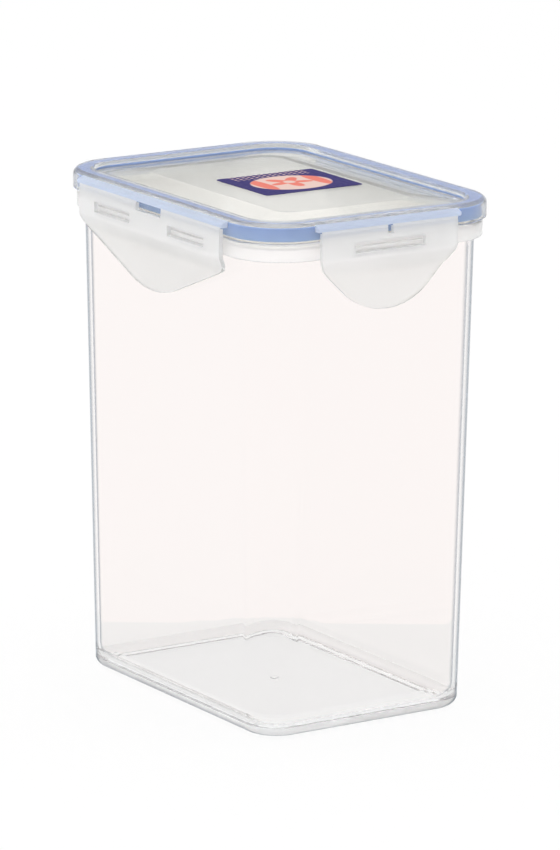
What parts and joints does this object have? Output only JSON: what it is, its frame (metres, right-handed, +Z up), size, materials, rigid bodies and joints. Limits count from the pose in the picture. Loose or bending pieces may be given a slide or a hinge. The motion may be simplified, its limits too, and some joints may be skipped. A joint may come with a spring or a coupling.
{
  "type": "food canister",
  "caption": "Tall rectangular clear food canister with a milky lid, a blue sealing ring and hinged locking flaps that hook under a collar round the mouth.",
  "frame": {"origin": "on the table under the middle of the canister", "axes": "+Z up out of the mouth, +X along the long side, -Y towards the front long flap"},
  "size_m": [0.1434, 0.1076, 0.185],
  "materials": {
    "clear_body": "clear moulded plastic, polished",
    "milky_lid": "milky translucent plastic, satin",
    "frosted_flap": "frosted translucent plastic, satin",
    "seal": "soft blue silicone",
    "label": null
  },
  "bodies": {
    "container": {"container": "clear_body"},
    "lid": {"lid": "milky_lid", "gasket": "seal", "label": "label", "web_front_1": "frosted_flap", "web_front_2": "frosted_flap", "web_back_1": "frosted_flap", "web_back_2": "frosted_flap", "web_left_1": "frosted_flap", "web_left_2": "frosted_flap", "web_right_1": "frosted_flap", "web_right_2": "frosted_flap"},
    "flap_front": {"flap_front": "frosted_flap"},
    "flap_back": {"flap_back": "frosted_flap"},
    "flap_left": {"flap_left": "frosted_flap"},
    "flap_right": {"flap_right": "frosted_flap"}
  },
  "joints": [
    {"name": "lid_lift", "type": "slide", "parent": "container", "child": "lid", "axis": [0, 0, 1], "range_m": [0, 0.2]},
    {"name": "flap_front_hinge", "type": "hinge", "parent": "lid", "child": "flap_front", "pos_m": [0, -0.05345, 0.1814], "axis": [-1, 0, 0], "range_deg": [0, 135]},
    {"name": "flap_back_hinge", "type": "hinge", "parent": "lid", "child": "flap_back", "pos_m": [0, 0.05345, 0.1814], "axis": [1, 0, 0], "range_deg": [0, 135]},
    {"name": "flap_left_hinge", "type": "hinge", "parent": "lid", "child": "flap_left", "pos_m": [-0.07135, 0, 0.1814], "axis": [0, 1, 0], "range_deg": [0, 135]},
    {"name": "flap_right_hinge", "type": "hinge", "parent": "lid", "child": "flap_right", "pos_m": [0.07135, 0, 0.1814], "axis": [0, -1, 0], "range_deg": [0, 135]}
  ]
}
